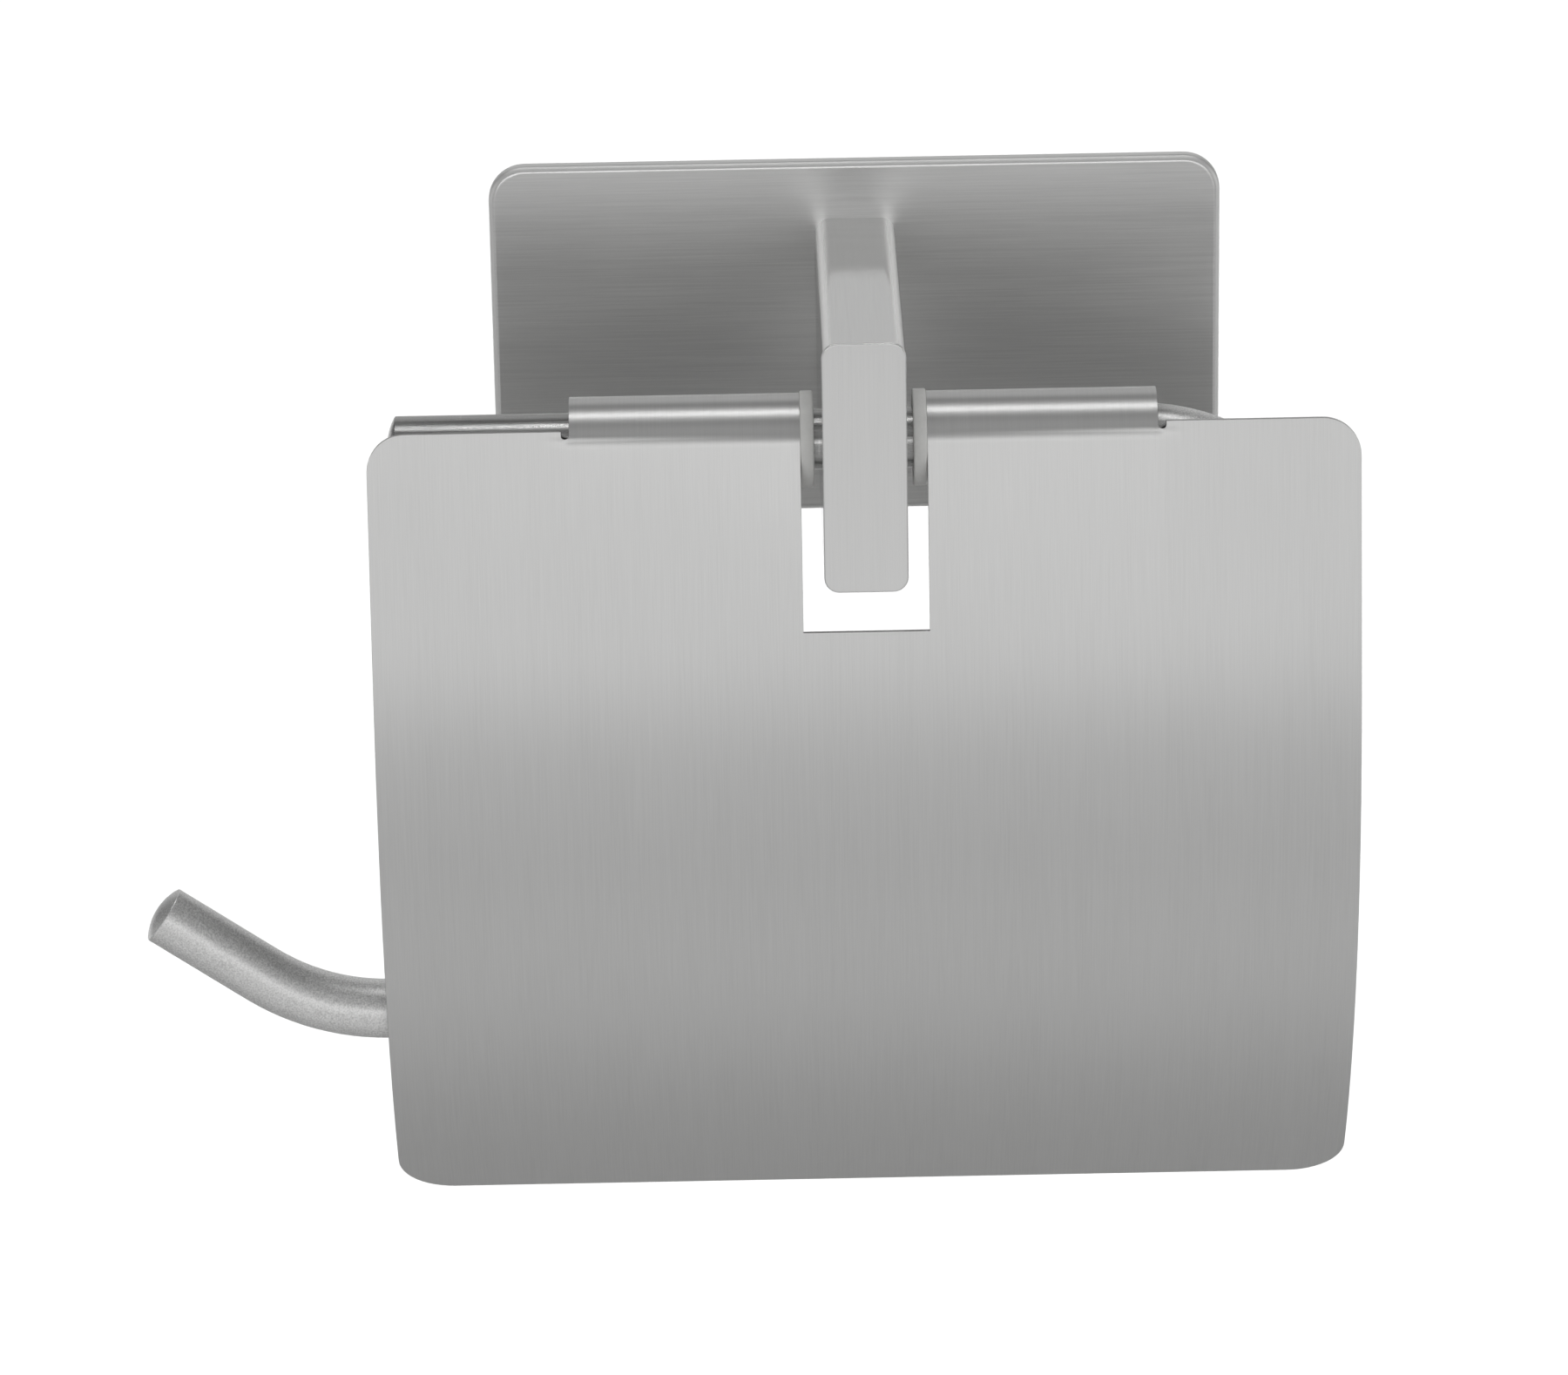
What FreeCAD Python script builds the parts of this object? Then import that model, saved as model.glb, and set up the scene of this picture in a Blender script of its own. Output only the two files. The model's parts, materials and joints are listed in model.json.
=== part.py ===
"""Wall-mounted toilet paper holder with a hinged lid.

Frame, in millimetres: the wall is the plane Y = 0 and the holder stands out
from it towards -Y, +Z is up, and X = 0, Z = 0 is the middle of the back plate.
"""

import os

import FreeCAD
import Part
from math import cos, pi, radians, sin, sqrt

Vector = FreeCAD.Vector

# Adhesive pad and back plate
PAD_THICKNESS = 1.0
PAD_WIDTH = 94.0
PAD_HEIGHT = 44.0
PAD_CORNER = 3.0
PLATE_WIDTH = 100.0
PLATE_HEIGHT = 50.0
PLATE_THICKNESS = 2.0
PLATE_CORNER = 5.0
PLATE_EDGE = 0.9
PLATE_BACK_Y = -PAD_THICKNESS
PLATE_FRONT_Y = PLATE_BACK_Y - PLATE_THICKNESS

# Post, a solid bar that stands square off the plate
POST_WIDTH = 11.0
POST_HEIGHT = 34.0
POST_LENGTH = 58.0
POST_LONG_EDGE = 2.0
POST_FRONT_EDGE = 0.2
POST_FRONT_Y = PLATE_FRONT_Y - POST_LENGTH

# Countersunk screws that draw the post onto the plate from behind
SCREW_RADIUS = 2.0
SCREW_LENGTH = 12.0
SCREW_HEAD_RADIUS = 3.7
SCREW_SPACING = 18.0
SCREW_RECESS_LONG = 3.6
SCREW_RECESS_WIDE = 0.8
SCREW_RECESS_DEEP = 1.1
THREAD_CLEARANCE = 0.05
HEAD_CLEARANCE = 0.1

# Roll arm, one bent rod whose upper run is the hinge pin of the lid
ROD_RADIUS = 4.0
AXIS_Y = PLATE_FRONT_Y - 45.0
RUN_SPACING = 79.0
UPPER_RUN_LEFT_X = -61.4
CORNER_START_X = 36.0
CORNER_RADIUS = 25.0
LOWER_RUN_LEFT_X = -65.0
UPTURN_RADIUS = 30.0
UPTURN_ANGLE = radians(34.5)
UPTURN_STRAIGHT = 15.6
DOME_HEIGHT = 1.1
ARM_LEAN = 1.6
BORE_CLEARANCE = 0.05

# Grub screw in the underside of the post that locks the rod
GRUB_RADIUS = 2.0
GRUB_LENGTH = 8.0
GRUB_SOCKET_FLATS = 2.0
GRUB_SOCKET_DEEP = 3.0
GRUB_TIP_GAP = 0.02

# Lid, one sheet with two rolled knuckles, two ears and a slot for the post
SHEET = 1.0
LID_WIDTH = 130.0
LID_LEAN = 9.0
KNUCKLE_RADIUS = 6.1
KNUCKLE_WRAP = radians(312.0)
LID_STRAIGHT = 35.0
LID_BEND_RADIUS = 97.5
LID_LENGTH = 117.4
SLOT_WIDTH = 16.6
SLOT_DEPTH = 24.8
EAR_INNER_X = 38.5
EAR_TOP = 2.5
EAR_NOTCH = 1.0
EAR_CORNER = 5.0
FOOT_CORNER = 7.5
CUT_REACH = 4.0

# Flanged hinge bushes, pressed into the knuckles and free to turn on the rod
BUSH_BORE_RADIUS = ROD_RADIUS + 0.08
BUSH_OUTER_RADIUS = KNUCKLE_RADIUS - SHEET - 0.02
BUSH_END_X = 35.5
FLANGE_RADIUS = 6.4
FLANGE_THICKNESS = 1.8
FLANGE_EDGE = 0.25


def slab(x0, x1, y0, y1, z0, z1):
    """Box between two corners."""
    return Part.makeBox(x1 - x0, y1 - y0, z1 - z0, Vector(x0, y0, z0))


def rounded_slab(width, height, corner, y_front, y_back):
    """Upright slab centred on X = 0, Z = 0 with four rounded corners."""
    block = slab(-width / 2, width / 2, y_front, y_back, -height / 2, height / 2)
    corners = [e for e in block.Edges if along(e, Vector(0, 1, 0))]
    return block.makeFillet(corner, corners)


def along(edge, direction):
    """True for a straight edge that runs along the direction."""
    if not isinstance(edge.Curve, Part.Line):
        return False
    return abs(abs(edge.Curve.Direction.dot(direction)) - 1.0) < 1e-6


def edges_at_y(solid, y):
    """Edges that lie wholly in the plane Y = y."""
    found = []
    for edge in solid.Edges:
        box = edge.BoundBox
        if abs(box.YMin - y) < 1e-4 and abs(box.YMax - y) < 1e-4:
            found.append(edge)
    return found


def cylinder(radius, length, start, direction):
    """Cylinder that starts at a point and runs along a direction."""
    return Part.makeCylinder(radius, length, start, direction)


def screw_heights():
    """Heights of the two screws through the plate."""
    return (-SCREW_SPACING / 2, SCREW_SPACING / 2)


def countersink(z, extra):
    """Cone of a screw head, grown by a clearance."""
    depth = SCREW_HEAD_RADIUS - SCREW_RADIUS
    centre = Vector(0, PLATE_BACK_Y, z)
    return Part.makeCone(
        SCREW_HEAD_RADIUS + extra, SCREW_RADIUS + extra, depth, centre, Vector(0, -1, 0)
    )


def make_pad():
    """Foam pad between the wall and the plate."""
    return rounded_slab(PAD_WIDTH, PAD_HEIGHT, PAD_CORNER, PLATE_BACK_Y, 0.0)


def make_plate():
    """Back plate with softened front edges and two countersunk holes."""
    plate = rounded_slab(
        PLATE_WIDTH, PLATE_HEIGHT, PLATE_CORNER, PLATE_FRONT_Y, PLATE_BACK_Y
    )
    plate = plate.makeFillet(PLATE_EDGE, edges_at_y(plate, PLATE_FRONT_Y))
    for z in screw_heights():
        hole = cylinder(
            SCREW_RADIUS + HEAD_CLEARANCE,
            PLATE_THICKNESS + 2.0,
            Vector(0, PLATE_BACK_Y + 1.0, z),
            Vector(0, -1, 0),
        )
        plate = plate.cut(hole)
        plate = plate.cut(countersink(z, HEAD_CLEARANCE))
    return plate


def make_post():
    """Solid bar with the rod bore, two tapped holes and the grub screw hole."""
    half = POST_WIDTH / 2
    top = POST_HEIGHT / 2
    post = slab(-half, half, POST_FRONT_Y, PLATE_FRONT_Y, -top, top)
    long_edges = [e for e in post.Edges if along(e, Vector(0, 1, 0))]
    post = post.makeFillet(POST_LONG_EDGE, long_edges)
    post = post.makeFillet(POST_FRONT_EDGE, edges_at_y(post, POST_FRONT_Y))
    bore = cylinder(
        ROD_RADIUS + BORE_CLEARANCE,
        POST_WIDTH + 2.0,
        Vector(-half - 1.0, AXIS_Y, 0),
        Vector(1, 0, 0),
    )
    post = post.cut(bore)
    for z in screw_heights():
        tapped = cylinder(
            SCREW_RADIUS + THREAD_CLEARANCE,
            SCREW_LENGTH + 1.0,
            Vector(0, PLATE_FRONT_Y + 1.0, z),
            Vector(0, -1, 0),
        )
        post = post.cut(tapped)
    grub_hole = cylinder(
        GRUB_RADIUS + THREAD_CLEARANCE,
        top + 1.0,
        Vector(0, AXIS_Y, -top - 1.0),
        Vector(0, 0, 1),
    )
    return post.cut(grub_hole)


def make_post_screw(z):
    """Countersunk screw with a cross recess."""
    head = countersink(z, 0.0)
    shank = cylinder(
        SCREW_RADIUS, SCREW_LENGTH, Vector(0, PLATE_BACK_Y, z), Vector(0, -1, 0)
    )
    screw = head.fuse(shank).removeSplitter()
    long = SCREW_RECESS_LONG / 2
    wide = SCREW_RECESS_WIDE / 2
    y_deep = PLATE_BACK_Y - SCREW_RECESS_DEEP
    y_out = PLATE_BACK_Y + 1.0
    screw = screw.cut(slab(-long, long, y_deep, y_out, z - wide, z + wide))
    return screw.cut(slab(-wide, wide, y_deep, y_out, z - long, z + long))


def make_grub_screw():
    """Headless screw with a hexagon socket at its lower end."""
    top = -ROD_RADIUS - GRUB_TIP_GAP
    bottom = top - GRUB_LENGTH
    body = cylinder(GRUB_RADIUS, GRUB_LENGTH, Vector(0, AXIS_Y, bottom), Vector(0, 0, 1))
    across = GRUB_SOCKET_FLATS / 2 / cos(pi / 6)
    corners = []
    for k in range(7):
        turn = k * pi / 3
        corners.append(
            Vector(across * cos(turn), AXIS_Y + across * sin(turn), bottom - 1.0)
        )
    socket = Part.Face(Part.makePolygon(corners))
    socket = socket.extrude(Vector(0, 0, GRUB_SOCKET_DEEP + 1.0))
    return body.cut(socket)


def rod_path():
    """Centreline of the roll arm in its own plane, from the upper left end."""
    low = -RUN_SPACING
    leg_x = CORNER_START_X + CORNER_RADIUS
    half = sqrt(0.5) * CORNER_RADIUS
    top_mid = Vector(CORNER_START_X + half, 0, half - CORNER_RADIUS)
    low_mid = Vector(CORNER_START_X + half, 0, low + CORNER_RADIUS - half)
    upper_left = Vector(UPPER_RUN_LEFT_X, 0, 0)
    upper_right = Vector(CORNER_START_X, 0, 0)
    leg_top = Vector(leg_x, 0, -CORNER_RADIUS)
    leg_low = Vector(leg_x, 0, low + CORNER_RADIUS)
    lower_right = Vector(CORNER_START_X, 0, low)
    lower_left = Vector(LOWER_RUN_LEFT_X, 0, low)

    def on_upturn(angle):
        x = LOWER_RUN_LEFT_X - UPTURN_RADIUS * sin(angle)
        return Vector(x, 0, low + UPTURN_RADIUS * (1.0 - cos(angle)))

    upturn_end = on_upturn(UPTURN_ANGLE)
    rise = Vector(-cos(UPTURN_ANGLE), 0, sin(UPTURN_ANGLE))
    tip = upturn_end + rise * UPTURN_STRAIGHT
    edges = [
        Part.makeLine(upper_left, upper_right),
        Part.Arc(upper_right, top_mid, leg_top).toShape(),
        Part.makeLine(leg_top, leg_low),
        Part.Arc(leg_low, low_mid, lower_right).toShape(),
        Part.makeLine(lower_right, lower_left),
        Part.Arc(lower_left, on_upturn(UPTURN_ANGLE / 2), upturn_end).toShape(),
        Part.makeLine(upturn_end, tip),
    ]
    return Part.Wire(edges), upper_left, tip, rise


def dome(point, outward):
    """Low spherical cap on a rod end."""
    ball = (ROD_RADIUS**2 + DOME_HEIGHT**2) / (2 * DOME_HEIGHT)
    sphere = Part.makeSphere(ball, point + outward * (DOME_HEIGHT - ball))
    return sphere.common(cylinder(ROD_RADIUS, 2 * DOME_HEIGHT, point, outward))


def make_roll_arm():
    """Bent rod with domed ends, leaning slightly forward at the foot."""
    path, upper_left, tip, rise = rod_path()
    left = Vector(-1, 0, 0)
    section = Part.Wire(Part.makeCircle(ROD_RADIUS, upper_left, left))
    rod = path.makePipeShell([section], True, False)
    rod = rod.fuse([dome(upper_left, left), dome(tip, rise)])
    rod = rod.removeSplitter()
    rod.rotate(Vector(0, 0, 0), Vector(1, 0, 0), -ARM_LEAN)
    rod.translate(Vector(0, AXIS_Y, 0))
    return rod


def lid_section():
    """Cross-section of the lid with its hinge axis at the origin."""
    outer = KNUCKLE_RADIUS
    inner = KNUCKLE_RADIUS - SHEET

    def on_curl(radius, wrap):
        return Vector(0, -radius * cos(wrap), radius * sin(wrap))

    bend_centre_y = -outer + LID_BEND_RADIUS
    bend_angle = (LID_LENGTH - LID_STRAIGHT) / LID_BEND_RADIUS

    def on_bend(radius, angle):
        y = bend_centre_y - radius * cos(angle)
        return Vector(0, y, -LID_STRAIGHT - radius * sin(angle))

    bend_outer = LID_BEND_RADIUS
    bend_inner = LID_BEND_RADIUS - SHEET
    half_wrap = KNUCKLE_WRAP / 2
    half_bend = bend_angle / 2
    curl_end_outer = on_curl(outer, KNUCKLE_WRAP)
    curl_end_inner = on_curl(inner, KNUCKLE_WRAP)
    foot_outer = on_bend(bend_outer, bend_angle)
    foot_inner = on_bend(bend_inner, bend_angle)
    front_top = on_curl(outer, 0.0)
    front_low = on_bend(bend_outer, 0.0)
    back_top = on_curl(inner, 0.0)
    back_low = on_bend(bend_inner, 0.0)
    edges = [
        Part.Arc(curl_end_outer, on_curl(outer, half_wrap), front_top).toShape(),
        Part.makeLine(front_top, front_low),
        Part.Arc(front_low, on_bend(bend_outer, half_bend), foot_outer).toShape(),
        Part.makeLine(foot_outer, foot_inner),
        Part.Arc(foot_inner, on_bend(bend_inner, half_bend), back_low).toShape(),
        Part.makeLine(back_low, back_top),
        Part.Arc(back_top, on_curl(inner, half_wrap), curl_end_inner).toShape(),
        Part.makeLine(curl_end_inner, curl_end_outer),
    ]
    return Part.Face(Part.Wire(edges)), foot_outer, bend_angle


def ear_relief(side):
    """Everything above the hinge axis and behind the sheet at one ear."""
    far = LID_WIDTH / 2 + 2.0
    reach = KNUCKLE_RADIUS + 2.0
    behind = -(KNUCKLE_RADIUS - SHEET)
    inner = EAR_INNER_X if side > 0 else -far
    outer = far if side > 0 else -EAR_INNER_X
    above = slab(inner, outer, -reach, reach, 0.0, reach)
    return above.fuse(slab(inner, outer, behind, reach, -reach, reach))


def ear(side):
    """Flat tab that carries the sheet straight up beside one knuckle."""
    front = -KNUCKLE_RADIUS
    inner = EAR_INNER_X if side > 0 else -LID_WIDTH / 2
    outer = LID_WIDTH / 2 if side > 0 else -EAR_INNER_X
    return slab(inner, outer, front, front + SHEET, -0.5, EAR_TOP)


def ear_notch(side):
    """Slit that parts one ear from its knuckle, so that the knuckle can be rolled."""
    bottom = EAR_TOP - EAR_NOTCH
    inner = EAR_INNER_X if side > 0 else -EAR_INNER_X - EAR_NOTCH
    outer = EAR_INNER_X + EAR_NOTCH if side > 0 else -EAR_INNER_X
    reach = KNUCKLE_RADIUS + 2.0
    middle = Vector(side * EAR_INNER_X, -reach, EAR_TOP)
    corner = cylinder(EAR_NOTCH, reach, middle, Vector(0, 1, 0))
    return corner.common(slab(inner, outer, -reach, 0.0, bottom, EAR_TOP + 1.0))


def corner_cut(x, z, side, up, radius):
    """Prism outside a quarter round, drawn in the XZ plane at a corner."""
    centre = Vector(x - side * radius, 0, z - up * radius)
    square = slab(
        min(centre.x, x + side), max(centre.x, x + side),
        -CUT_REACH, CUT_REACH,
        min(centre.z, z + up), max(centre.z, z + up),
    )
    start = Vector(centre.x, -2 * CUT_REACH, centre.z)
    return square.cut(cylinder(radius, 4 * CUT_REACH, start, Vector(0, 1, 0)))


def make_lid():
    """Bent sheet with rolled knuckles, a slot, two ears and rounded corners."""
    section, foot, bend_angle = lid_section()
    half = LID_WIDTH / 2
    section.translate(Vector(-half, 0, 0))
    lid = section.extrude(Vector(LID_WIDTH, 0, 0))
    wide = SLOT_WIDTH / 2
    reach = KNUCKLE_RADIUS + 2.0
    lid = lid.cut(slab(-wide, wide, -reach, reach, -SLOT_DEPTH, reach))
    for side in (-1, 1):
        lid = lid.cut(ear_relief(side))
        lid = lid.fuse(ear(side)).removeSplitter()
        lid = lid.cut(ear_notch(side))
        top = corner_cut(side * half, EAR_TOP, side, 1, EAR_CORNER)
        top.translate(Vector(0, -KNUCKLE_RADIUS, 0))
        lid = lid.cut(top)
        low = corner_cut(side * half, 0.0, side, -1, FOOT_CORNER)
        low.rotate(Vector(0, 0, 0), Vector(1, 0, 0), bend_angle * 180 / pi)
        low.translate(foot)
        lid = lid.cut(low)
    lid.rotate(Vector(0, 0, 0), Vector(1, 0, 0), -LID_LEAN)
    lid.translate(Vector(0, AXIS_Y, 0))
    return lid


def make_bush(side):
    """Flanged sleeve inside one knuckle, its flange towards the post."""
    outward = Vector(side, 0, 0)
    slot_x = SLOT_WIDTH / 2
    flange_start = Vector(side * (slot_x - FLANGE_THICKNESS), AXIS_Y, 0)
    flange = cylinder(FLANGE_RADIUS, FLANGE_THICKNESS, flange_start, outward)
    rims = [e for e in flange.Edges if isinstance(e.Curve, Part.Circle)]
    flange = flange.makeFillet(FLANGE_EDGE, rims)
    sleeve = cylinder(
        BUSH_OUTER_RADIUS, BUSH_END_X - slot_x + 0.5,
        Vector(side * (slot_x - 0.5), AXIS_Y, 0), outward,
    )
    bore = cylinder(BUSH_BORE_RADIUS, BUSH_END_X, Vector(0, AXIS_Y, 0), outward)
    bore_end = cylinder(
        BUSH_BORE_RADIUS, 2.0, Vector(side * (BUSH_END_X - 1.0), AXIS_Y, 0), outward
    )
    return flange.fuse(sleeve).cut(bore.fuse(bore_end)).removeSplitter()


def export(name, solids):
    """Write one named node."""
    shape = solids[0] if len(solids) == 1 else Part.makeCompound(solids)
    shape.exportStep("parts/" + name + ".step")


def main():
    os.makedirs("parts", exist_ok=True)
    export("adhesive_pad", [make_pad()])
    export("back_plate", [make_plate()])
    export("post", [make_post()])
    export("post_screws", [make_post_screw(z) for z in screw_heights()])
    export("roll_arm", [make_roll_arm()])
    export("grub_screw", [make_grub_screw()])
    export("lid", [make_lid()])
    export("hinge_bush_left", [make_bush(-1)])
    export("hinge_bush_right", [make_bush(1)])


main()
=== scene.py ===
"""Looks of the toilet paper holder: brushed steel sheet, bar and rod, nylon bushes."""

import json
from math import asin, cos, pi, radians, sin

import bmesh
import bpy
from mathutils import Matrix, Vector


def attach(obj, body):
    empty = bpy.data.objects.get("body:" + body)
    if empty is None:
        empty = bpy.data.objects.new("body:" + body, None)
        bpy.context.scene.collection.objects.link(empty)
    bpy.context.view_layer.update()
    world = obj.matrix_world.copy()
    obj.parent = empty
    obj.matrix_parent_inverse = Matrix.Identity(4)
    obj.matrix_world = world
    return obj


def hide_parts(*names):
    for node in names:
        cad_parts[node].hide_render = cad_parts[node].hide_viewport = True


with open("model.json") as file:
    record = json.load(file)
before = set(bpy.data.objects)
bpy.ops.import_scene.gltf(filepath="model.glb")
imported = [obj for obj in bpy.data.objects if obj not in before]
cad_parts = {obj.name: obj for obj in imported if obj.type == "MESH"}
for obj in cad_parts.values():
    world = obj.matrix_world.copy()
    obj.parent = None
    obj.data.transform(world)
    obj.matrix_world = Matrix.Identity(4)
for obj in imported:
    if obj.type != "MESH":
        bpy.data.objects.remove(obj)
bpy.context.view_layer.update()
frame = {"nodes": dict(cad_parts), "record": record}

MM = 0.001
BRACKET = "bracket"
FLAP = "flap"

# Hinge line, in metres
JOINT = frame["record"]["behaviour"]["joints"][0]
HINGE = Vector(JOINT["pos_m"])

# Lid sheet: sizes of the flat blank, in millimetres
SHEET = 1.0
KNUCKLE_RADIUS = 6.1
KNUCKLE_WRAP = radians(312.0)
LID_LEAN = radians(9.0)
LID_HALF_WIDTH = 65.0
LID_STRAIGHT = 35.0
LID_BEND_RADIUS = 97.5
LID_BEND_EASE = 12.0
LID_LENGTH = 117.4
SLOT_HALF_WIDTH = 8.3
SLOT_DEPTH = 24.8
EAR_INNER = 38.5
EAR_TOP = 2.5
EAR_NOTCH = 1.0
SLIT_CORNER = 0.49
EAR_ROOT = 3.5
EAR_CORNER = 5.0
FOOT_CORNER = 7.5
CORNER_SEGMENTS = 12
KNUCKLE_FOLDS = 104
BELLY_FOLDS = 72
LID_EDGE_BREAK = 0.05

# Roll arm, in millimetres
ROD_RADIUS = 4.0
RUN_SPACING = 79.0
UPPER_RUN_LEFT = -61.4
CORNER_START = 36.0
CORNER_RADIUS = 25.0
LOWER_RUN_LEFT = -65.0
UPTURN_RADIUS = 30.0
UPTURN_ANGLE = radians(34.5)
UPTURN_STRAIGHT = 15.6
DOME_HEIGHT = 1.1
ARM_LEAN = radians(1.6)
ROD_SIDES = 40
RUN_STEPS = 16
LEG_STEPS = 5
CORNER_STEPS = 20
UPTURN_STEPS = 12
TIP_STEPS = 3
DOME_RINGS = 7
ROD_EDGE_BREAK = 0.12

# Hinge bushes, in millimetres
BUSH_BORE = 4.08
BUSH_SLEEVE = 5.08
FLANGE_RADIUS = 6.4
FLANGE_THICKNESS = 1.8
FLANGE_EDGE = 0.25
BUSH_END = 35.5
BUSH_STEPS = 72

# Points closer than MERGE are one point; SPARE is room left when picking points
MERGE = 1e-4
SPARE = 0.01


# Mesh helpers


def new_piece(name, bm, material, body, stands_for):
    """Turn a finished bmesh, drawn in millimetres, into a piece of the holder."""
    bmesh.ops.scale(bm, vec=(MM, MM, MM), verts=bm.verts)
    mesh = bpy.data.meshes.new(name)
    bm.to_mesh(mesh)
    bm.free()
    mesh.shade_smooth()
    piece = bpy.data.objects.new(name, mesh)
    bpy.context.scene.collection.objects.link(piece)
    mesh.materials.append(material)
    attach(piece, body)
    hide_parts(stands_for)
    return piece


def edge_break(piece, width, angle, segments):
    """Break the sharp edges of a piece with a small round."""
    bevel = piece.modifiers.new("edge_break", "BEVEL")
    bevel.width = width * MM
    bevel.segments = segments
    bevel.limit_method = "ANGLE"
    bevel.angle_limit = radians(angle)
    bevel.harden_normals = True
    return bevel


# Materials

STEEL_WARMTH = 0.992
STEEL_RELIEF = 0.6

# Brushed steel: detail and roughness of the grain, and its depth in metres
BRUSH_DETAIL = (4.0, 0.65)
BRUSH_DEPTH = 0.00001
STREAK_SHARE = 0.06
STREAK_TONE = 0.35
WEAR_SCALE = 22.0
WEAR = 0.03
SIDE_FACING = (0.6, 0.9)
EDGE_FACING = (0.86, 0.99)
# Lighter tone of the rounded edges: a painted highlight
EDGE_HIGHLIGHT_TONE = 0.85

# Rod: lines per metre, tones, and where the drawn stretch begins, in metres; the drawn
# tones are darker, painted shade for the dark overhead that the smooth run reflects
SATIN_SCALE = 4200.0
SATIN_TONES = (0.66, 0.98)
SATIN_ROUGH = (0.38, 0.52)
SATIN_DEPTH = 0.00003
RING_SCALE = (900.0, 60.0, 60.0)
DRAWN_SCALE = (60.0, 5000.0, 5000.0)
DRAWN_SHADED_TONES = (0.42, 0.85)
DRAWN_ROUGH = (0.20, 0.36)
POLISHED_SHADE_ABOVE = (-0.008, -0.005)
POLISHED_SHADE_BEFORE = (0.034, 0.046)


def start_material(name):
    """Empty material with its shader and output."""
    material = bpy.data.materials.new(name)
    material.use_nodes = True
    tree = material.node_tree
    tree.nodes.clear()
    shader = tree.nodes.new("ShaderNodeBsdfPrincipled")
    output = tree.nodes.new("ShaderNodeOutputMaterial")
    tree.links.new(shader.outputs["BSDF"], output.inputs["Surface"])
    return material, tree, shader


def noise(tree, vector, scale, detail, roughness=0.5):
    """Noise texture read at a vector."""
    made = tree.nodes.new("ShaderNodeTexNoise")
    made.inputs["Scale"].default_value = scale
    made.inputs["Detail"].default_value = detail
    made.inputs["Roughness"].default_value = roughness
    tree.links.new(vector, made.inputs["Vector"])
    return made.outputs["Fac"]


def stretched(tree, vector, scale):
    """Coordinates scaled along each axis."""
    made = tree.nodes.new("ShaderNodeMapping")
    made.inputs["Scale"].default_value = scale
    tree.links.new(vector, made.inputs["Vector"])
    return made.outputs["Vector"]


def remap(tree, value, low, high, to_low, to_high, smooth=False):
    """Map one range of values onto another."""
    made = tree.nodes.new("ShaderNodeMapRange")
    if smooth:
        made.interpolation_type = "SMOOTHSTEP"
    made.inputs["From Min"].default_value = low
    made.inputs["From Max"].default_value = high
    made.inputs["To Min"].default_value = to_low
    made.inputs["To Max"].default_value = to_high
    tree.links.new(value, made.inputs["Value"])
    return made.outputs["Result"]


def calculate(tree, operation, first, second):
    """Math node on two values."""
    made = tree.nodes.new("ShaderNodeMath")
    made.operation = operation
    for socket, value in zip(made.inputs, (first, second)):
        if isinstance(value, float):
            socket.default_value = value
        else:
            tree.links.new(value, socket)
    return made.outputs["Value"]


def grey(level, warmth=STEEL_WARMTH):
    """Grey colour with a little less blue than red."""
    return (level, level, level * warmth, 1.0)


def mix(tree, factor, first, second, kind="FLOAT"):
    """Mix of two values, or of two greys, by a factor."""
    made = tree.nodes.new("ShaderNodeMix")
    made.data_type = kind
    sockets = [s for s in made.inputs if s.enabled]
    for socket, value in zip(sockets, (factor, first, second)):
        if isinstance(value, bpy.types.NodeSocket):
            tree.links.new(value, socket)
        elif kind == "RGBA" and socket is not sockets[0]:
            socket.default_value = grey(value)
        else:
            socket.default_value = value
    return [s for s in made.outputs if s.enabled][0]


def rounded_edges(tree, normal):
    """1 on the rounded edges of a square part and 0 on its flat faces.

    Also gives how far the surface faces sideways, along X.
    """
    size = tree.nodes.new("ShaderNodeVectorMath")
    size.operation = "ABSOLUTE"
    tree.links.new(normal, size.inputs[0])
    parts = tree.nodes.new("ShaderNodeSeparateXYZ")
    tree.links.new(size.outputs["Vector"], parts.inputs["Vector"])
    largest = calculate(tree, "MAXIMUM", parts.outputs["X"], parts.outputs["Y"])
    largest = calculate(tree, "MAXIMUM", largest, parts.outputs["Z"])
    return remap(tree, largest, *EDGE_FACING, 1.0, 0.0, True), parts.outputs["X"]


def raise_grain(tree, shader, height, strength, depth):
    """Give the surface a fine relief; depth is in metres."""
    relief = tree.nodes.new("ShaderNodeBump")
    relief.inputs["Strength"].default_value = strength
    relief.inputs["Distance"].default_value = depth
    tree.links.new(height, relief.inputs["Height"])
    tree.links.new(relief.outputs["Normal"], shader.inputs["Normal"])


def finish_steel(tree, shader, grain, tone, rough, depth):
    """Connect grain, tone and roughness to a steel shader."""
    tree.links.new(tone, shader.inputs["Base Color"])
    tree.links.new(rough, shader.inputs["Roughness"])
    raise_grain(tree, shader, grain, STEEL_RELIEF, depth)
    shader.inputs["Metallic"].default_value = 1.0


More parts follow.
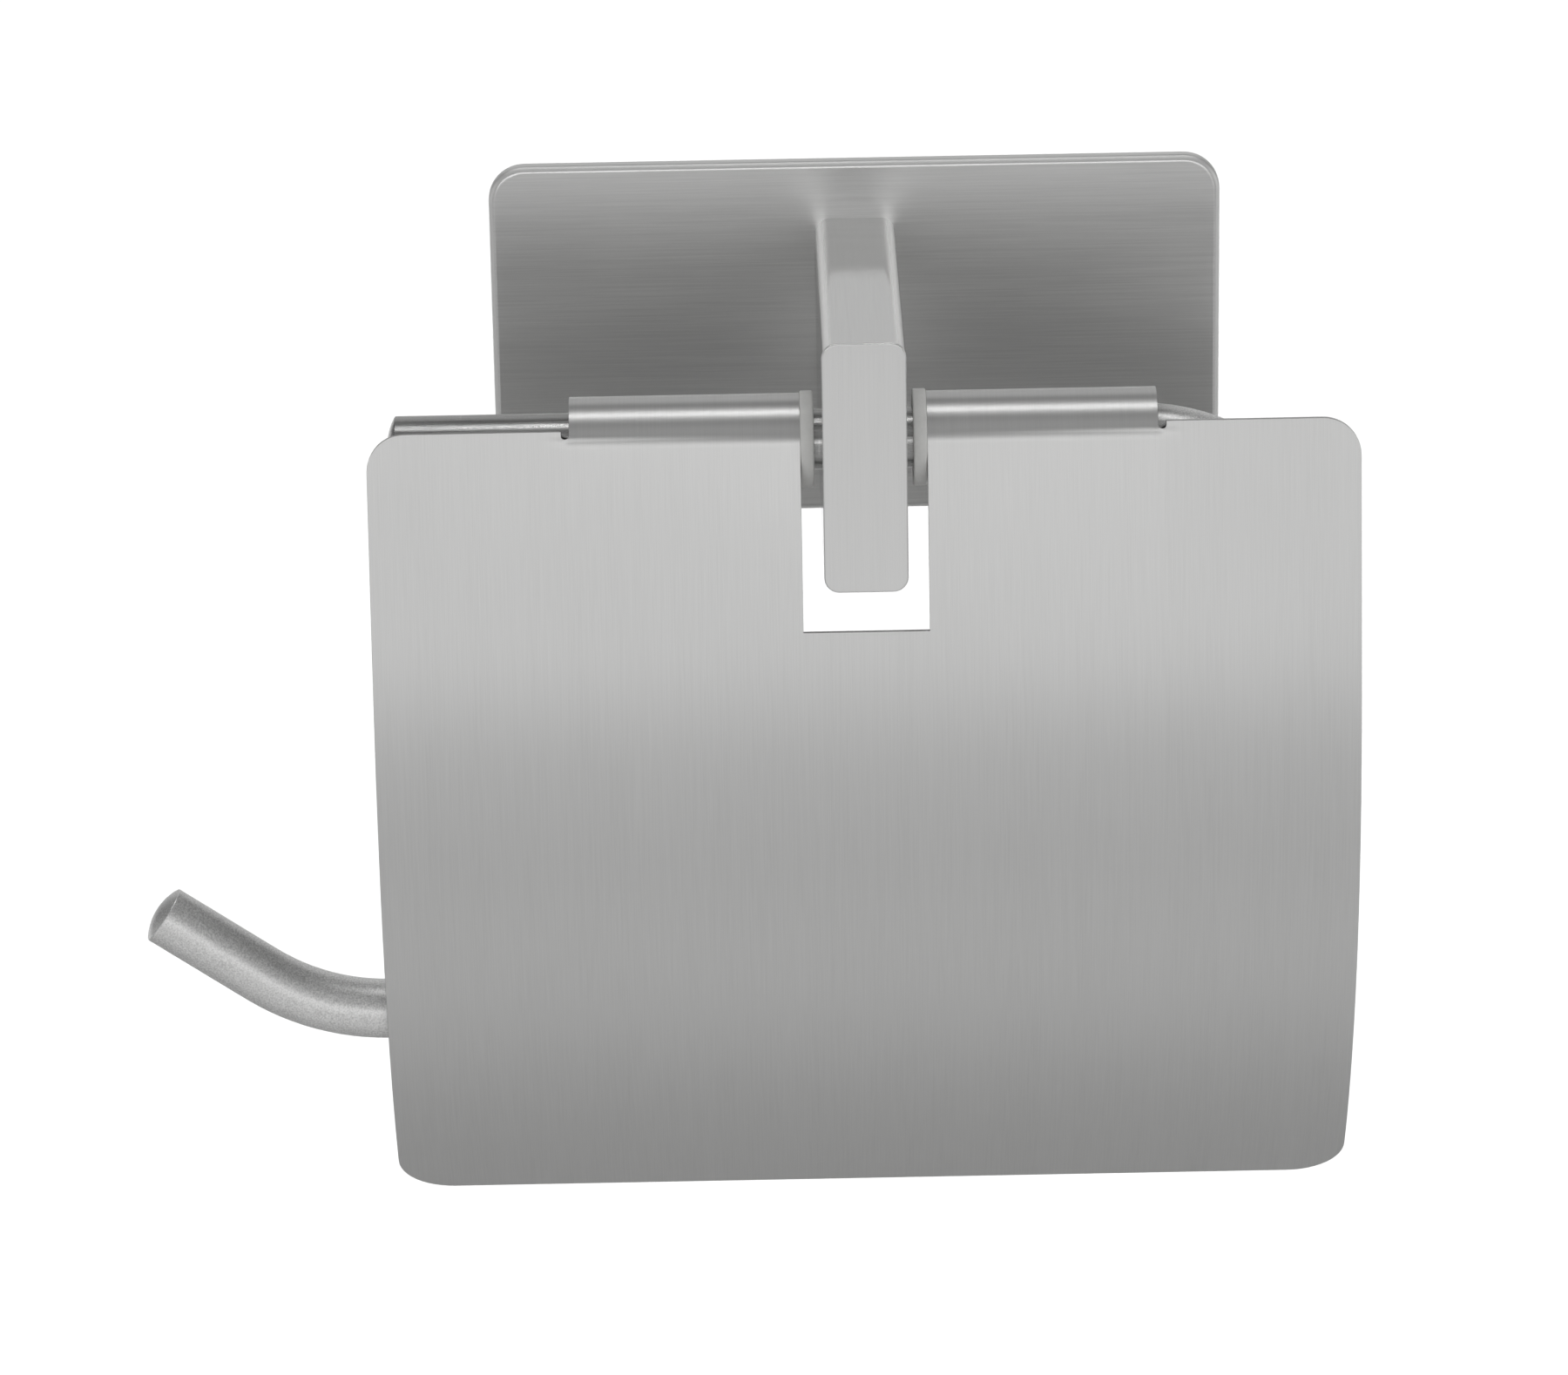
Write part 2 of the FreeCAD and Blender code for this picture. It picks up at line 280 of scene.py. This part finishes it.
def brushed_steel(name, dark, light, rough, scale, square=None):
    """Steel with a brushed grain: noise stretched along the brushing direction.

    scale gives the grain along X, Y and Z in lines per metre, so the brushing
    runs along the axis with the smallest number. square is the roughness of
    the tumbled edges of a square part, whose sides are brushed along Y; these
    edges also get a lighter tone, a painted highlight.
    """
    material, tree, shader = start_material(name)
    where = tree.nodes.new("ShaderNodeTexCoord")
    place = where.outputs["Object"]
    grain = noise(tree, stretched(tree, place, scale), 1.0, *BRUSH_DETAIL)
    if square:
        tumbled_edge_and_highlight, sideways = rounded_edges(tree, where.outputs["Normal"])
        along_y = stretched(tree, place, (scale[1], scale[1], scale[0]))
        side_grain = noise(tree, along_y, 1.0, *BRUSH_DETAIL)
        side = remap(tree, sideways, *SIDE_FACING, 0.0, 1.0)
        grain = mix(tree, side, grain, side_grain)
    streaks = tuple(lines * STREAK_SHARE for lines in scale)
    broad = noise(tree, stretched(tree, place, streaks), 1.0, 2.0)
    cloud = noise(tree, place, WEAR_SCALE, 3.0)
    tone = mix(tree, remap(tree, grain, 0.3, 0.7, 0.0, 1.0), dark, light, "RGBA")
    streak = remap(tree, broad, 0.35, 0.75, 0.0, STREAK_TONE)
    tone = mix(tree, streak, tone, light, "RGBA")
    roughness = remap(tree, grain, 0.0, 1.0, *rough)
    worn = remap(tree, cloud, 0.0, 1.0, -WEAR, WEAR)
    roughness = calculate(tree, "ADD", roughness, worn)
    if square:
        roughness = mix(tree, tumbled_edge_and_highlight, roughness, square)
        # Painted highlight: the rounded edges get a lighter tone
        tone = mix(tree, tumbled_edge_and_highlight, tone, EDGE_HIGHLIGHT_TONE, "RGBA")
    finish_steel(tree, shader, grain, tone, roughness, BRUSH_DEPTH)
    return material, shader


def rod_finish(name):
    """Rod steel: satin, and drawn smooth on the upper run where the lid turns on it, with
    a darker tone there that is painted shade.
    """
    material, tree, shader = start_material(name)
    where = tree.nodes.new("ShaderNodeTexCoord")
    place = where.outputs["Object"]
    satin = noise(tree, place, SATIN_SCALE, 2.0, 0.6)
    rings = noise(tree, stretched(tree, place, RING_SCALE), 1.0, 3.0, 0.6)
    drawn = noise(tree, stretched(tree, place, DRAWN_SCALE), 1.0, 3.0, 0.6)
    parts = tree.nodes.new("ShaderNodeSeparateXYZ")
    tree.links.new(place, parts.inputs["Vector"])
    # Mask of the drawn upper run: smoother steel, and a darker tone that is painted shade
    upper = remap(tree, parts.outputs["Z"], *POLISHED_SHADE_ABOVE, 0.0, 1.0, True)
    straight = remap(tree, parts.outputs["X"], *POLISHED_SHADE_BEFORE, 1.0, 0.0, True)
    polished_and_shaded = calculate(tree, "MULTIPLY", upper, straight)
    speck = remap(tree, satin, 0.35, 0.65, 0.0, 1.0)
    satin_tone = mix(tree, speck, *SATIN_TONES, "RGBA")
    scratch = remap(tree, rings, 0.66, 0.74, 0.0, 0.7)
    drawn_shaded_tone = mix(tree, scratch, *DRAWN_SHADED_TONES, "RGBA")
    # The drawn upper run takes the darker tones: painted shade
    tone = mix(tree, polished_and_shaded, satin_tone, drawn_shaded_tone, "RGBA")
    satin_rough = remap(tree, satin, 0.3, 0.7, *SATIN_ROUGH)
    drawn_rough = remap(tree, drawn, 0.2, 0.8, *DRAWN_ROUGH)
    rough = mix(tree, polished_and_shaded, satin_rough, drawn_rough)
    grain = mix(tree, polished_and_shaded, satin, drawn)
    finish_steel(tree, shader, grain, tone, rough, SATIN_DEPTH)
    return material


def speckled(tree, shader, pattern, dark, light):
    """Colour a surface from dark to light by a pattern."""
    colour = tree.nodes.new("ShaderNodeMix")
    colour.data_type = "RGBA"
    colour.inputs["A"].default_value = dark
    colour.inputs["B"].default_value = light
    tree.links.new(pattern, colour.inputs["Factor"])
    tree.links.new(colour.outputs["Result"], shader.inputs["Base Color"])


def nylon(name):
    """Natural nylon: milky, slightly see-through, with a fine moulded grain."""
    material, tree, shader = start_material(name)
    where = tree.nodes.new("ShaderNodeTexCoord")
    grain = noise(tree, where.outputs["Object"], 1800.0, 3.0)
    speckled(tree, shader, grain, (0.80, 0.80, 0.78, 1.0), (0.88, 0.88, 0.86, 1.0))
    raise_grain(tree, shader, grain, 0.3, 0.00002)
    shader.inputs["Roughness"].default_value = 0.42
    shader.inputs["Subsurface Weight"].default_value = 0.3
    shader.inputs["Subsurface Radius"].default_value = (MM, MM, MM)
    return material


def foam(name):
    """Adhesive foam: pale, matt, with open cells."""
    material, tree, shader = start_material(name)
    where = tree.nodes.new("ShaderNodeTexCoord")
    cells = tree.nodes.new("ShaderNodeTexVoronoi")
    cells.inputs["Scale"].default_value = 1500.0
    tree.links.new(where.outputs["Object"], cells.inputs["Vector"])
    walls = cells.outputs["Distance"]
    speckled(tree, shader, walls, (0.55, 0.55, 0.53, 1.0), (0.72, 0.72, 0.70, 1.0))
    raise_grain(tree, shader, walls, 0.6, 0.0001)
    shader.inputs["Roughness"].default_value = 0.85
    return material


# Lid


def flat_blank():
    """Cut the outline of the flat blank: two knuckles, slot, ears and foot."""
    bm = bmesh.new()
    curl = -KNUCKLE_RADIUS * KNUCKLE_WRAP
    slit = EAR_NOTCH - EAR_TOP
    outline = [
        (LID_HALF_WIDTH, LID_LENGTH, FOOT_CORNER),
        (LID_HALF_WIDTH, -EAR_TOP, EAR_CORNER),
        (EAR_INNER + EAR_NOTCH, -EAR_TOP, 0.0),
        (EAR_INNER + EAR_NOTCH, slit, SLIT_CORNER),
        (EAR_INNER, slit, SLIT_CORNER),
        (EAR_INNER, curl, 0.0),
        (SLOT_HALF_WIDTH, curl, 0.0),
        (SLOT_HALF_WIDTH, SLOT_DEPTH, 0.0),
    ]
    outline += [(-x, along, radius) for x, along, radius in reversed(outline)]
    verts = [bm.verts.new((x, -KNUCKLE_RADIUS, -along)) for x, along, _ in outline]
    bm.faces.new(verts)
    for x, along, radius in outline:
        if radius:
            place = Vector((x, -KNUCKLE_RADIUS, -along))
            corner = min(bm.verts, key=lambda v: (v.co - place).length)
            bmesh.ops.bevel(
                bm, geom=[corner], offset=radius, offset_type="OFFSET",
                affect="VERTICES", segments=CORNER_SEGMENTS, profile=0.5, material=-1,
            )
    return bm


def fold(bm, folds, toward, reach):
    """Fold the blank along one line after another, working back from its end.

    folds lists how far down the sheet each line lies and how far it turns.
    toward is 1 for the sheet below the lines and -1 for the sheet above them,
    and only the sheet within the reach of the middle is folded.
    """
    for line, _ in folds:
        cut(bm, (0, 0, -line), (0, 0, 1))
    flat = {v for v in bm.verts if abs(v.co.x) < reach}
    folded = []
    for line, turn in reversed(folds):
        beyond = [v for v in flat if (-v.co.z - line) * toward > MERGE]
        flat.difference_update(beyond)
        folded += beyond
        bmesh.ops.rotate(
            bm, verts=folded, cent=(0, -KNUCKLE_RADIUS, -line),
            matrix=Matrix.Rotation(toward * turn, 3, "X"),
        )


def knuckle_folds(steps):
    """Lines of the tight roll, from the hinge line up over the rod."""
    turn = KNUCKLE_WRAP / steps
    pitch = 2 * KNUCKLE_RADIUS * sin(turn / 2)
    return [(-pitch * k, turn / 2 if k == 0 else turn) for k in range(steps)]


def belly_folds(steps):
    """Lines of the wide lower bend, which begins gradually."""
    start = LID_STRAIGHT - LID_BEND_EASE
    pitch = (LID_LENGTH - start) / steps
    folds = []
    for k in range(steps):
        down = (k + 0.5) * pitch
        share = min(down / (2 * LID_BEND_EASE), 1.0)
        folds.append((start + down, pitch * share / LID_BEND_RADIUS))
    return folds


def cut(bm, place, normal):
    """Divide the sheet along a plane."""
    bmesh.ops.bisect_plane(
        bm, geom=bm.verts[:] + bm.edges[:] + bm.faces[:], dist=MERGE,
        plane_co=place, plane_no=normal,
    )


def make_lid(outside, inside):
    """Cut the blank, roll its knuckles and its lower half, and hang it."""
    bm = flat_blank()
    for side in (-1, 1):
        for x in (EAR_INNER, EAR_INNER + EAR_NOTCH, EAR_INNER + EAR_ROOT):
            cut(bm, (side * x, 0, 0), (1, 0, 0))
    grain = bm.loops.layers.uv.new("grain")
    for face in bm.faces:
        for loop in face.loops:
            loop[grain].uv = (loop.vert.co.x * MM, loop.vert.co.z * MM)
    fold(bm, knuckle_folds(KNUCKLE_FOLDS), -1, EAR_INNER + SPARE)
    fold(bm, belly_folds(BELLY_FOLDS), 1, LID_HALF_WIDTH + SPARE)
    bmesh.ops.recalc_face_normals(bm, faces=bm.faces)
    front = min(bm.faces, key=lambda f: f.calc_center_median().y)
    if front.normal.y > 0:
        bmesh.ops.reverse_faces(bm, faces=bm.faces)
    lean = Matrix.Rotation(-LID_LEAN, 3, "X")
    bmesh.ops.rotate(bm, verts=bm.verts, cent=(0, 0, 0), matrix=lean)
    bmesh.ops.translate(bm, verts=bm.verts, vec=HINGE / MM)
    lid = new_piece("lid_sheet", bm, outside, FLAP, "lid")
    lid.data.materials.append(inside)
    wall = lid.modifiers.new("thickness", "SOLIDIFY")
    wall.thickness = SHEET * MM
    wall.offset = -1.0
    wall.use_even_offset = True
    wall.material_offset = 1
    wall.material_offset_rim = 1
    edge_break(lid, LID_EDGE_BREAK, 30.0, 3).use_clamp_overlap = False


# Roll arm


def ring(bm, centre, normal):
    """Circle of the rod's section."""
    made = bmesh.ops.create_circle(
        bm, cap_ends=False, segments=ROD_SIDES, radius=ROD_RADIUS
    )
    turn = Vector((0, 0, 1)).rotation_difference(normal).to_matrix()
    bmesh.ops.rotate(bm, verts=made["verts"], cent=(0, 0, 0), matrix=turn)
    bmesh.ops.translate(bm, verts=made["verts"], vec=centre)
    return list({e for v in made["verts"] for e in v.link_edges})


def push(bm, edges, move, steps=1):
    """Extrude a ring along a straight run and return the last ring."""
    for _ in range(steps):
        made = bmesh.ops.extrude_edge_only(bm, edges=edges)["geom"]
        verts = [g for g in made if isinstance(g, bmesh.types.BMVert)]
        edges = [g for g in made if isinstance(g, bmesh.types.BMEdge)]
        edges = [e for e in edges if all(v in verts for v in e.verts)]
        bmesh.ops.translate(bm, verts=verts, vec=move / steps)
    return edges


def bend(bm, edges, centre, angle, steps):
    """Spin a ring round a bend in the XZ plane and return the last ring."""
    made = bmesh.ops.spin(
        bm, geom=edges, cent=centre, axis=(0, 1, 0), angle=angle, steps=steps,
        use_duplicate=False,
    )["geom_last"]
    return [g for g in made if isinstance(g, bmesh.types.BMEdge)]


def middle(verts):
    """Mean place of some points."""
    return sum((v.co for v in verts), Vector()) / len(verts)


def cap(bm, edges, outward):
    """Close a rod end with a low dome."""
    ball = (ROD_RADIUS**2 + DOME_HEIGHT**2) / (2 * DOME_HEIGHT)
    edge_angle = asin(ROD_RADIUS / ball)
    for k in range(1, DOME_RINGS):
        before = edge_angle * (1 - (k - 1) / DOME_RINGS)
        after = edge_angle * (1 - k / DOME_RINGS)
        edges = push(bm, edges, outward * ball * (cos(after) - cos(before)))
        verts = list({v for e in edges for v in e.verts})
        shrink = sin(after) / sin(before)
        bmesh.ops.scale(
            bm, vec=(shrink, shrink, shrink), verts=verts,
            space=Matrix.Translation(-middle(verts)),
        )
    last = outward * ball * (1.0 - cos(edge_angle / DOME_RINGS))
    edges = push(bm, edges, last)
    verts = list({v for e in edges for v in e.verts})
    bmesh.ops.pointmerge(bm, verts=verts, merge_co=middle(verts))


def make_arm(material):
    """Bend the rod run by run, from the upper left end to the upturned tip."""
    bm = bmesh.new()
    low = -RUN_SPACING
    left = Vector((-1, 0, 0))
    edges = ring(bm, Vector((UPPER_RUN_LEFT, 0, 0)), left)
    cap(bm, edges, left)
    upper = Vector((CORNER_START - UPPER_RUN_LEFT, 0, 0))
    edges = push(bm, edges, upper, RUN_STEPS)
    high_corner = (CORNER_START, 0, -CORNER_RADIUS)
    edges = bend(bm, edges, high_corner, pi / 2, CORNER_STEPS)
    leg = Vector((0, 0, 2 * CORNER_RADIUS - RUN_SPACING))
    edges = push(bm, edges, leg, LEG_STEPS)
    low_corner = (CORNER_START, 0, low + CORNER_RADIUS)
    edges = bend(bm, edges, low_corner, pi / 2, CORNER_STEPS)
    lower = Vector((LOWER_RUN_LEFT - CORNER_START, 0, 0))
    edges = push(bm, edges, lower, RUN_STEPS)
    upturn = (LOWER_RUN_LEFT, 0, low + UPTURN_RADIUS)
    edges = bend(bm, edges, upturn, UPTURN_ANGLE, UPTURN_STEPS)
    rise = Vector((-cos(UPTURN_ANGLE), 0, sin(UPTURN_ANGLE)))
    edges = push(bm, edges, rise * UPTURN_STRAIGHT, TIP_STEPS)
    cap(bm, edges, rise)
    bmesh.ops.remove_doubles(bm, verts=bm.verts, dist=MERGE)
    bmesh.ops.recalc_face_normals(bm, faces=bm.faces)
    lean = Matrix.Rotation(-ARM_LEAN, 3, "X")
    bmesh.ops.rotate(bm, verts=bm.verts, cent=(0, 0, 0), matrix=lean)
    bmesh.ops.translate(bm, verts=bm.verts, vec=HINGE / MM)
    arm = new_piece("bent_rod", bm, material, BRACKET, "roll_arm")
    edge_break(arm, ROD_EDGE_BREAK, 20.0, 2)


# Bushes


def make_bush(name, side, material, node_name):
    """Flanged sleeve turned from its half section."""
    bm = bmesh.new()
    flange_in = SLOT_HALF_WIDTH - FLANGE_THICKNESS
    soft = FLANGE_EDGE
    outline = [
        (flange_in, BUSH_BORE),
        (flange_in, FLANGE_RADIUS - soft),
        (flange_in + soft * 0.3, FLANGE_RADIUS - soft * 0.3),
        (flange_in + soft, FLANGE_RADIUS),
        (SLOT_HALF_WIDTH - soft, FLANGE_RADIUS),
        (SLOT_HALF_WIDTH - soft * 0.3, FLANGE_RADIUS - soft * 0.3),
        (SLOT_HALF_WIDTH, FLANGE_RADIUS - soft),
        (SLOT_HALF_WIDTH, BUSH_SLEEVE),
        (BUSH_END, BUSH_SLEEVE),
        (BUSH_END, BUSH_BORE),
    ]
    verts = [bm.verts.new((side * x, 0.0, r)) for x, r in outline]
    edges = [
        bm.edges.new((a, b)) for a, b in zip(verts, verts[1:] + verts[:1])
    ]
    bmesh.ops.spin(
        bm, geom=verts + edges, cent=(0, 0, 0), axis=(1, 0, 0), angle=2 * pi,
        steps=BUSH_STEPS, use_merge=True, use_duplicate=False,
    )
    bmesh.ops.remove_doubles(bm, verts=bm.verts, dist=MERGE)
    bmesh.ops.recalc_face_normals(bm, faces=bm.faces)
    bmesh.ops.translate(bm, verts=bm.verts, vec=HINGE / MM)
    bush = new_piece(name, bm, material, FLAP, node_name)
    bush.data.set_sharp_from_angle(angle=radians(50))


# Build


lid_steel, lid_shader = brushed_steel(
    "lid_steel", 0.62, 0.67, (0.37, 0.42), (7000.0, 90.0, 90.0)
)
lid_tangent = lid_steel.node_tree.nodes.new("ShaderNodeTangent")
lid_tangent.direction_type = "UV_MAP"
lid_tangent.uv_map = "grain"
lid_steel.node_tree.links.new(lid_tangent.outputs["Tangent"], lid_shader.inputs["Tangent"])
lid_shader.inputs["Anisotropic"].default_value = 0.35
# Inside face of the sheet: a coarser mill grain, and a darker tone that is painted shade
# for the space behind the lid
lid_inside, _ = brushed_steel(
    "lid_inside_mill_shaded", 0.36, 0.42, (0.30, 0.40), (1500.0, 400.0, 400.0)
)
plate_steel, _ = brushed_steel(
    "plate_steel", 0.66, 0.76, (0.27, 0.33), (60.0, 4200.0, 4200.0), square=0.55
)
post_steel, _ = brushed_steel(
    "post_steel", 0.71, 0.75, (0.08, 0.12), (7000.0, 90.0, 90.0), square=0.3
)
rod_steel = rod_finish("rod_steel")
screw_steel, _ = brushed_steel(
    "screw_steel", 0.45, 0.58, (0.30, 0.45), (3000.0, 3000.0, 3000.0)
)
nylon_white = nylon("nylon_natural")
foam_pale = foam("adhesive_foam")

make_lid(lid_steel, lid_inside)
make_arm(rod_steel)
make_bush("bush_left", -1, nylon_white, "hinge_bush_left")
make_bush("bush_right", 1, nylon_white, "hinge_bush_right")

for node_name, material in (
    ("back_plate", plate_steel),
    ("post", post_steel),
    ("post_screws", screw_steel),
    ("grub_screw", screw_steel),
    ("adhesive_pad", foam_pale),
):
    shown = frame["nodes"][node_name]
    shown.data.materials.clear()
    shown.data.materials.append(material)


# Floor, light and camera


FLOOR_Z = -1.3
FLOOR_SIZE = 20.0


def make_floor():
    """Plain pale floor, well below the wall holder."""
    bm = bmesh.new()
    bmesh.ops.create_grid(bm, x_segments=1, y_segments=1, size=FLOOR_SIZE)
    bmesh.ops.translate(bm, verts=bm.verts, vec=(0, 0, FLOOR_Z))
    mesh = bpy.data.meshes.new("floor")
    bm.to_mesh(mesh)
    bm.free()
    floor = bpy.data.objects.new("floor", mesh)
    bpy.context.scene.collection.objects.link(floor)
    material, _, shader = start_material("pale_floor")
    shader.inputs["Base Color"].default_value = (0.9, 0.9, 0.9, 1.0)
    shader.inputs["Roughness"].default_value = 0.9
    shader.inputs["Specular IOR Level"].default_value = 0.0
    mesh.materials.append(material)


def softbox(name, place, target, size, power, spread=180.0):
    """Rectangular area light, with its width and height, aimed at a point."""
    lamp = bpy.data.lights.new(name, "AREA")
    lamp.shape = "RECTANGLE"
    lamp.size, lamp.size_y = size
    lamp.energy = power
    lamp.spread = radians(spread)
    box = bpy.data.objects.new(name, lamp)
    bpy.context.scene.collection.objects.link(box)
    box.location = place
    aim = Vector(target) - Vector(place)
    box.rotation_euler = aim.to_track_quat("-Z", "Y").to_euler()


make_floor()

# The front is a wall of light, brightest just above the holder's own height
for name, height, tall, power in (
    ("front_panel", 0.25, 0.42, 8.4),
    ("front_step", -0.14, 0.36, 1.1),
    ("front_low", -0.62, 0.92, 2.9),
):
    softbox(name, (0.0, -2.5, height), (0, 0, height), (3.0, tall), power)
softbox("front_high", (0.0, -1.8, 1.7), (0, 0, 0), (3.0, 1.33), 3.4)
softbox("top_strip", (0.0, -0.05, 1.6), (0, -0.05, 0), (2.0, 0.1), 5.6)
softbox("back_card", (0.0, 2.2, 1.2), (0, 0, 1.2), (3.0, 3.2), 12.6)
softbox("left_card", (-2.3, -0.5, 0.2), (0, -0.5, 0.2), (2.2, 1.4), 6.0)
softbox("right_card", (2.3, -0.5, 0.2), (0, -0.5, 0.2), (2.2, 1.4), 8.0)

# Close above the floor, these keep it white and light the holder from below
softbox("floor_front", (0.0, -2.8, -1.0), (0, -2.8, -1.3), (10.0, 4.4), 32.0)
softbox("floor_back", (0.0, 5.0, -0.42), (0, 5.0, -1.3), (10.0, 6.2), 193.0, 70.0)

world = bpy.data.worlds.new("studio")
bpy.context.scene.world = world
world.use_nodes = True
sky = world.node_tree.nodes["Background"]
sky.inputs["Color"].default_value = (1, 1, 1, 1)
sky.inputs["Strength"].default_value = 0.16
bpy.context.scene.view_settings.view_transform = "Standard"

CAMERA_PLACE = Vector((-0.0145, -0.8948, 0.2755))
CAMERA_DOWN = radians(20.12)
CAMERA_RIGHT = radians(0.24)
CAMERA_ROLL = radians(1.0)
lens = bpy.data.cameras.new("camera")
lens.sensor_width = 36.0
lens.lens = 155.5
lens.clip_start = 0.05
lens.clip_end = 50.0
camera = bpy.data.objects.new("camera", lens)
bpy.context.scene.collection.objects.link(camera)
camera.matrix_world = (
    Matrix.Translation(CAMERA_PLACE)
    @ Matrix.Rotation(-CAMERA_RIGHT, 4, "Z")
    @ Matrix.Rotation(pi / 2 - CAMERA_DOWN, 4, "X")
    @ Matrix.Rotation(-CAMERA_ROLL, 4, "Z")
)
bpy.context.scene.camera = camera
